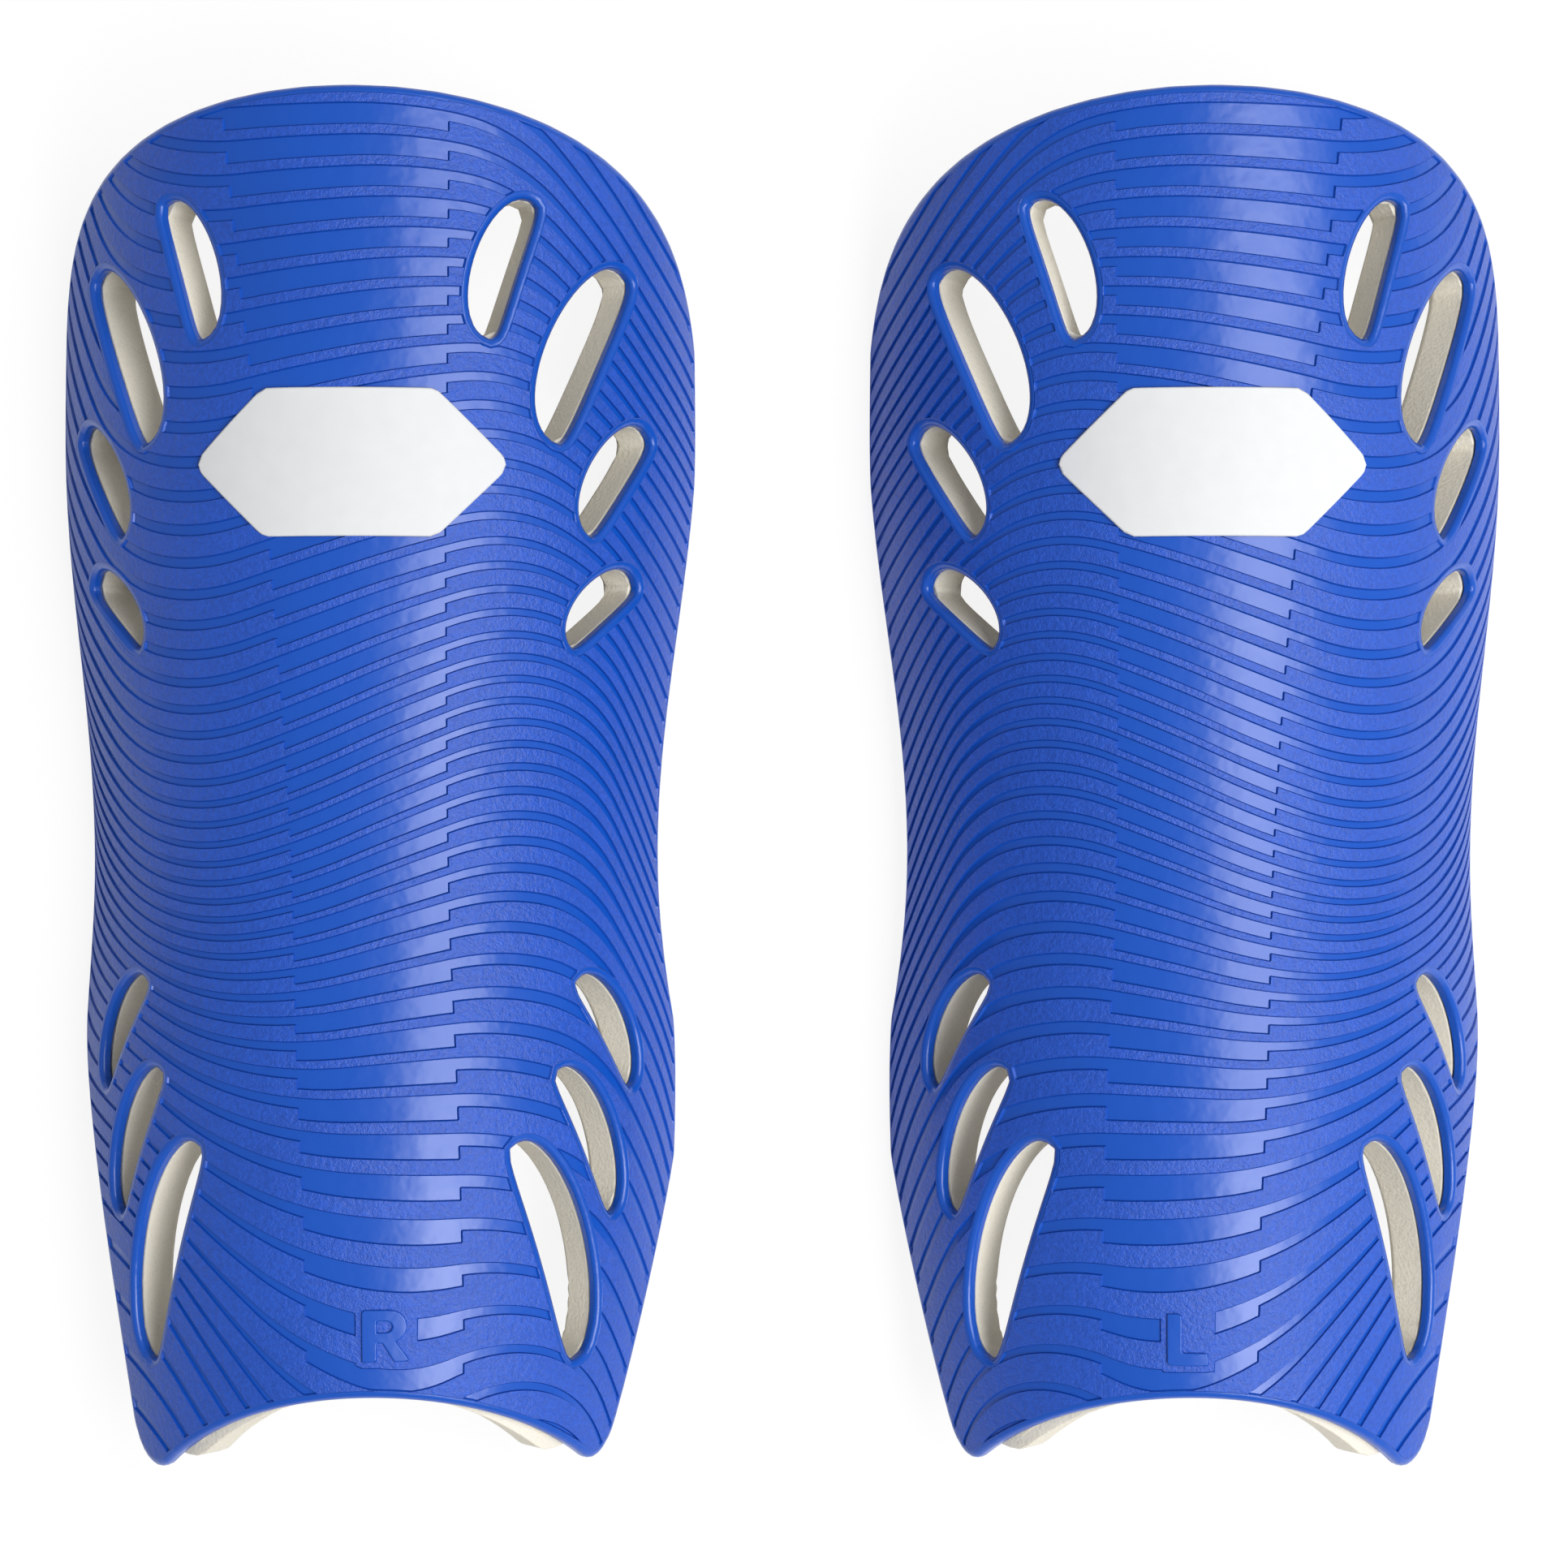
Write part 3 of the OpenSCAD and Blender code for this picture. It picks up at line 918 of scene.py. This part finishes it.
# Places in the photograph, in its frame scaled to 1568 a side
POINTS = {
    "object_left": (65.5, None),
    "object_right": (1499.4, None),
    "object_top": (None, 84.6),
    "object_bottom": (None, 1465.4),
    "right_letter": (386.3, 1335.9),
    "left_letter": (1187.8, 1339.9),
    "right_outer_top_vent": (189.4, 269.6),
    "right_inner_top_vent": (504.5, 268.5),
    "right_outer_low_vent": (166.2, 1250.6),
    "right_inner_low_vent": (554.4, 1250.6),
    "left_outer_top_vent": (1375.3, 269.6),
    "left_inner_top_vent": (1060.2, 268.5),
    "left_outer_low_vent": (1398.6, 1250.6),
    "left_inner_low_vent": (1010.3, 1250.6),
    "right_arch_middle": (367.5, 1399.0),
}
W = H = 1568
L = max(W, H)
# The vents that the points name, as numbers in VENTS
POINT_VENTS = {"outer_top_vent": 1, "inner_top_vent": 0, "outer_low_vent": 13, "inner_low_vent": 12}
LENS, SENSOR = 78.87, 36.0
CAMERA_PLACE = Vector((0.00027, 0.00074, 0.600))


def make_camera():
    data = bpy.data.cameras.new("camera")
    data.lens, data.sensor_width, data.sensor_fit = LENS, SENSOR, "AUTO"
    camera = bpy.data.objects.new("camera", data)
    camera.location = CAMERA_PLACE
    bpy.context.scene.collection.objects.link(camera)
    bpy.context.scene.camera = camera
    bpy.context.view_layer.update()
    return camera


def place_on(tree, point):
    """Where the ray through an image point meets a surface, or the surface's place nearest the ray."""
    camera = bpy.context.scene.camera
    data = camera.data
    across, up = point[0] - W / 2 + data.shift_x * L, H / 2 - point[1] + data.shift_y * L
    ray = Vector((across, up, -L * data.lens / data.sensor_width))
    ray = (camera.matrix_world.to_3x3() @ ray).normalized()
    start = camera.matrix_world.translation
    hit = tree.ray_cast(start, ray)[0]
    if hit is None:
        along = ray * (tree.find_nearest(start)[0] - start).length
        for _ in range(20):
            hit = tree.find_nearest(start + along)[0]
            along = ray * (hit - start).dot(ray)
    return hit


def shown_at(places):
    """Image places of points in space, in the frame of POINTS."""
    camera = bpy.context.scene.camera
    data = camera.data
    local = np.array([camera.matrix_world.inverted() @ Vector(p) for p in places])
    scale = L * data.lens / data.sensor_width / -local[:, 2]
    middle = (W / 2 - data.shift_x * L, H / 2 + data.shift_y * L)
    return middle + local[:, :2] * scale[:, None] * (1, -1)


def surface_of(obj):
    """An object's faces in space, for rays."""
    places = [obj.matrix_world @ v.co for v in obj.data.vertices]
    return BVHTree.FromPolygons(places, [tuple(p.vertices) for p in obj.data.polygons])


# ---------------------------------------------------------------- letters and badge

DRAWN_HEIGHT = 8  # the letters' height as drawn
LETTER_HEIGHT = 8.6
LETTER_ROOM = 1.0
LETTER_RELIEF, LETTER_ROOT = 0.45, 0.1


def letter_shape(letter):
    """Loops of a block letter, centred."""
    if letter == "L":
        loops = [np.array([(0, 0), (6.4, 0), (6.4, 2.0), (2.3, 2.0), (2.3, 8), (0, 8)], float)]
    else:
        bowl = np.concatenate([curve((4.1, 8), (7.6, 8), (7.9, 3.9), (5.2, 3.2), 10), [(5.2, 3.2)]])
        hole = np.concatenate([curve((3.7, 6.3), (5.1, 6.3), (5.1, 4.5), (3.7, 4.5), 8), [(3.7, 4.5)]])
        legs = [(7.6, 0), (5.0, 0), (3.2, 2.9), (2.3, 2.9), (2.3, 0), (0, 0)]
        loops = [
            np.concatenate([[(0, 8)], bowl, legs])[::-1],
            np.concatenate([[(2.3, 6.3)], hole, [(2.3, 4.5)]]),
        ]
    corners = np.concatenate(loops)
    middle = (corners.min(0) + corners.max(0)) / 2
    return [(loop - middle) * LETTER_HEIGHT / DRAWN_HEIGHT for loop in loops]


def letter_place(side):
    """Flat place of the middle of a side's letter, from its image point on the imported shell."""
    hit = place_on(surface_of(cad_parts[side + "_shell"]), POINTS[side + "_letter"]) / MM
    across = hit.x * flip_of(side) + GUARD_X
    return np.array([math.atan2(across, hit.z + AXIS_DEPTH) * FLAT_RADIUS, hit.y])


def letter_loops(side):
    """Flat loops of a letter where it stands, turned back on the left guard, which is a mirror twin."""
    middle, letter = letter_place(side), "R" if side == "right" else "L"
    return [loop * (flip_of(side), 1) + middle for loop in letter_shape(letter)]


def badge_loop():
    """Flat outline of a long hexagon with rounded corners."""
    w, h = BADGE_SIZE[0] / 2 - BADGE_CORNER, BADGE_SIZE[1] / 2 - BADGE_CORNER
    corners = ((w, 0), (w - h, h), (h - w, h), (-w, 0), (h - w, -h), (w - h, -h))
    turns = ((-45, 45), (45, 90), (90, 135), (135, 225), (225, 270), (270, 315))
    points = []
    for (x, y), (first, last) in zip(corners, turns):
        angles = np.radians(np.linspace(first, last, 7))
        points.append((x, y) + BADGE_CORNER * np.stack([np.cos(angles), np.sin(angles)], 1))
    points = np.concatenate(points)
    # the hexagon is seen straight on, so its x becomes an angle round the form
    y = points[:, 1] + BADGE_Y
    return np.stack([np.arcsin(points[:, 0] / form_radius(y)) * FLAT_RADIUS, y], 1)


# ---------------------------------------------------------------- settings


def length_setting(description, default, low, high):
    return bpy.props.FloatProperty(
        name=description, description=description + " in millimetres", default=default, min=low, max=high
    )


def colour_setting(description, default):
    return bpy.props.FloatVectorProperty(
        name=description, description=description, subtype="COLOR", size=3, min=0, max=1, default=default
    )


def share_setting(description, default):
    return bpy.props.FloatProperty(
        name=description, description=description, subtype="FACTOR", min=0, max=1, default=default
    )


def power_setting(description, default):
    return bpy.props.FloatProperty(
        name=description, description=description, unit="POWER", min=0, default=default
    )


class ShellSettings(bpy.types.PropertyGroup):
    land_colour: colour_setting("Colour of the grained lands", (0.008, 0.078, 0.5))
    groove_colour: colour_setting("Colour of the smooth grooves and lips", (0.002, 0.07, 0.43))
    land_roughness: share_setting("Roughness of the lands", 0.43)
    groove_roughness: share_setting("Roughness of the grooves", 0.27)
    groove_depth: length_setting("Depth of the grooves", 0.38, 0.05, 1)
    groove_margin: length_setting("Distance that grooves keep from edges", 1.25, 0.5, 5)
    groove_fade: length_setting("Distance in which grooves reach their depth", 0.35, 0.2, 5)
    lip_width: length_setting("Width of the rounded lips", 1.2, 0.2, 3)
    lip_height: length_setting("Height of the rounded lips", 0.9, 0.2, 1.5)
    column_width: length_setting("Width of the mesh's columns", 1.3, 0.5, 5)


class FoamSettings(bpy.types.PropertyGroup):
    colour: colour_setting("Colour of the foam", (0.72, 0.68, 0.58))
    front_edge: length_setting("Width of the foam's rounded edges beside the shell", 0.3, 0.1, 2)
    back_edge: length_setting("Width of the foam's rounded edges beside the leg", 1.6, 0.2, 2)


class TrimSettings(bpy.types.PropertyGroup):
    badge_colour: colour_setting("Colour of the badge", (0.64, 0.65, 0.66))
    glue_colour: colour_setting("Colour of the glue film", (0.72, 0.68, 0.55))


class StageSettings(bpy.types.PropertyGroup):
    floor_colour: colour_setting("Colour of the floor", (0.92, 0.92, 0.92))
    floor_glow: share_setting("How much the camera sees the floor as evenly lit", 0.88)
    key_power: power_setting("Power of the key light", 20)
    low_power: power_setting("Power of the light below the image", 3)
    sky_strength: share_setting("Strength of the soft light all round", 0.4)


SETTINGS = {
    "guard_shell": ShellSettings,
    "guard_foam": FoamSettings,
    "guard_trim": TrimSettings,
    "guard_stage": StageSettings,
}


# ---------------------------------------------------------------- operators


class GUARD_OT_shells(bpy.types.Operator):
    """Builds both moulded shells, with their ribs, rounded lips and room for the letters"""

    bl_idname = "guard.shells"
    bl_label = "Shells"

    def execute(self, context):
        look = context.scene.guard_shell
        material = shell_look(look)
        edges = Edges([outline(0, SHELL_BOTTOM)])
        grid = rib_grid(look.column_width)
        for side in SIDES:
            loops = letter_loops(side)
            corners = np.concatenate(loops)
            low, high = corners.min(0) - LETTER_ROOM, corners.max(0) + LETTER_ROOM
            box = np.array([low, (high[0], low[1]), high, (low[0], high[1])])

            def room(flat, distance):
                at_edges = (distance - look.groove_margin) / look.groove_fade
                return np.minimum(at_edges, -depth_inside(flat, [box]) / WALL)

            lip, depth = (look.lip_width, look.lip_height), look.groove_depth
            built = layer(edges, grid, 0, SHELL_THICK, lip, SHELL_BACK_LIP, depth, room, "edges")
            shell = make_piece(side + "_shell_moulded", side, built, material)
            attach(shell, side + "_guard")
            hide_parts(side + "_shell")
        return {"FINISHED"}


class GUARD_OT_foam(bpy.types.Operator):
    """Builds both foam backings, with vents and soft edges"""

    bl_idname = "guard.foam"
    bl_label = "Foam backings"

    def execute(self, context):
        look = context.scene.guard_foam
        material = foam_look(look)
        loops = [outline(FOAM_MARGIN, FOAM_BOTTOM)]
        front, back = ((width, width) for width in (look.front_edge, look.back_edge))
        for side in SIDES:
            grid = plain_grid(loops, FOAM_CELL)
            built = layer(Edges(loops), grid, FOAM_DEPTH, INSIDE_DEPTH, front, back)
            foam = make_piece(side + "_foam_pad", side, built, material)
            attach(foam, side + "_guard")
            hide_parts(side + "_foam_backing")
        return {"FINISHED"}


class GUARD_OT_trim(bpy.types.Operator):
    """Builds the badges and the raised side letters, and finishes the glue films"""

    bl_idname = "guard.trim"
    bl_label = "Badges, letters and glue films"

    def execute(self, context):
        look = context.scene.guard_trim
        badge_material = film_look("badge_sheet", look.badge_colour, roughness=0.65, ripple=0.3)
        glue_material = film_look("glue_sheet", look.glue_colour, roughness=0.5, ripple=0.8)
        shell_material = bpy.data.materials["moulded_plastic"]
        hexagon = [badge_loop()]
        for side in SIDES:
            edges = Edges(hexagon, has_vents=False, on_table=False)
            grid = plain_grid(hexagon, BADGE_CELL)
            built = layer(edges, grid, -BADGE_THICK, 0, BADGE_LIP, HIDDEN_LIP)
            badge = make_piece(side + "_badge_film", side, built, badge_material)
            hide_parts(side + "_badge")
            loops = letter_loops(side)
            edges = Edges(loops, has_vents=False, on_table=False)
            grid = plain_grid(loops, LETTER_CELL)
            built = layer(edges, grid, -LETTER_RELIEF, LETTER_ROOT, LETTER_LIP, HIDDEN_LIP, shine="all")
            letter = make_piece(side + "_letter", side, built, shell_material)
            for piece in (badge, letter):
                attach(piece, side + "_guard")
            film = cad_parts[side + "_glue_film"]
            for place in film.material_slots:
                place.link = "OBJECT"
                place.material = glue_material
        return {"FINISHED"}


FLOOR_REACH = 3  # metres each way


def make_floor(look):
    """A wide floor. The camera sees it as lit paper, which keeps only a faint shadow."""
    mesh = bpy.data.meshes.new("floor")
    corners = [(x * FLOOR_REACH, y * FLOOR_REACH, 0) for x, y in ((-1, -1), (1, -1), (1, 1), (-1, 1))]
    mesh.from_pydata(corners, [], [(0, 1, 2, 3)])
    floor = bpy.data.objects.new("floor", mesh)
    bpy.context.scene.collection.objects.link(floor)
    paper = Look("floor_paper", Roughness=0.9)
    tone = paper.noise(0.2, 2).over(0.3, 0.7)
    paper.feed(Base_Color=paper.mix(tone, shade(look.floor_colour, 0.995), shade(look.floor_colour)))
    mesh.materials.append(paper.material)
    seen = paper.node("LightPath", output="Is Camera Ray") * look.floor_glow
    lit = Value(paper, paper.shader.outputs[0])
    blend = paper.node("MixShader", {}, {0: seen, 1: lit, 2: paper.node("Emission")})
    paper.tree.links.new(blend.socket, paper.tree.nodes["Material Output"].inputs["Surface"])


def make_light(name, power, place, size):
    """A softbox turned about Y toward the pair."""
    data = bpy.data.lights.new(name, "AREA")
    data.shape, data.size, data.size_y, data.energy = "RECTANGLE", *size, power
    light = bpy.data.objects.new(name, data)
    light.location = place
    light.rotation_euler = (0, math.atan2(place[0], place[2]), 0)
    bpy.context.scene.collection.objects.link(light)


def make_sky(strength):
    """Soft light all round, which the camera sees as white."""
    world = bpy.data.worlds.new("soft_light")
    world.use_nodes = True
    sky = world.node_tree.nodes["Background"]
    sky.inputs["Color"].default_value = (1, 1, 1, 1)
    seen = Tree(world.node_tree).node("LightPath", output="Is Camera Ray") * (1 - strength) + strength
    world.node_tree.links.new(seen.socket, sky.inputs["Strength"])
    bpy.context.scene.world = world


class GUARD_OT_stage(bpy.types.Operator):
    """Builds the pale floor and the soft studio light"""

    bl_idname = "guard.stage"
    bl_label = "Stage"

    def execute(self, context):
        look = context.scene.guard_stage
        make_floor(look)
        make_light("key_light", look.key_power, place=(0.62, -0.15, 1.2), size=(0.7, 1.4))
        make_light("low_light", look.low_power, place=(0.55, -0.6, 1.15), size=(0.3, 0.6))
        make_sky(look.sky_strength)
        context.scene.view_settings.view_transform = "Standard"
        return {"FINISHED"}


OPERATORS = (GUARD_OT_shells, GUARD_OT_foam, GUARD_OT_trim, GUARD_OT_stage)


class GUARD_PT_panel(bpy.types.Panel):
    """Lists the steps that build the pair"""

    bl_idname = "GUARD_PT_panel"
    bl_label = "Shin guard pair"
    bl_space_type = "VIEW_3D"
    bl_region_type = "UI"
    bl_category = "Shin guards"

    def draw(self, context):
        for operator in OPERATORS:
            self.layout.operator(operator.bl_idname)
        for name, group in SETTINGS.items():
            box = self.layout.box()
            for prop in group.__annotations__:
                box.prop(getattr(context.scene, name), prop)


def register():
    for name, group in SETTINGS.items():
        bpy.utils.register_class(group)
        setattr(bpy.types.Scene, name, bpy.props.PointerProperty(type=group))
    for item in (*OPERATORS, GUARD_PT_panel):
        bpy.utils.register_class(item)


def unregister():
    for item in (*OPERATORS, GUARD_PT_panel):
        bpy.utils.unregister_class(item)
    for name, group in SETTINGS.items():
        delattr(bpy.types.Scene, name)
        bpy.utils.unregister_class(group)


# ---------------------------------------------------------------- distances from the image points


def write_points():
    """How far each thing shows from its image point, in the points' own frame."""
    shells = [bpy.data.objects[side + "_shell_moulded"].data for side in SIDES]
    shown = shown_at([v.co for shell in shells for v in shell.vertices])
    seen = {
        "object_left": (shown[:, 0].min(), None),
        "object_right": (shown[:, 0].max(), None),
        "object_top": (None, shown[:, 1].min()),
        "object_bottom": (None, shown[:, 1].max()),
    }

    def flat_shown(side, flat, depth=0.0):
        """The middle of flat places' box in the image."""
        places = (on_form(flat, depth) - (GUARD_X, 0, 0)) * (flip_of(side), 1, 1) * MM
        shown = shown_at(places)
        return tuple((shown.min(0) + shown.max(0)) / 2)

    for side in SIDES:
        seen[side + "_letter"] = flat_shown(side, np.concatenate(letter_loops(side)), -LETTER_RELIEF)
        for name, number in POINT_VENTS.items():
            angle, y, shape = VENTS[number]
            along = shape[:, 1] + y
            across = (angle + np.arcsin(shape[:, 0] / form_radius(along))) * FLAT_RADIUS
            seen[f"{side}_{name}"] = flat_shown(side, np.stack([across, along], 1))
    middle = np.array([[math.radians(ARCH_MIDDLE_ANGLE) * FLAT_RADIUS, ARCH_Y]])
    seen["right_arch_middle"] = flat_shown("right", middle)
    gaps = {
        name: [None if a is None else round(float(b - a), 2) for a, b in zip(place, seen[name])]
        for name, place in POINTS.items()
    }


def main():
    register()
    make_camera()
    for operator in OPERATORS:
        group, name = operator.bl_idname.split(".")
        getattr(getattr(bpy.ops, group), name)()
    write_points()


if __name__ == "__main__":
    main()
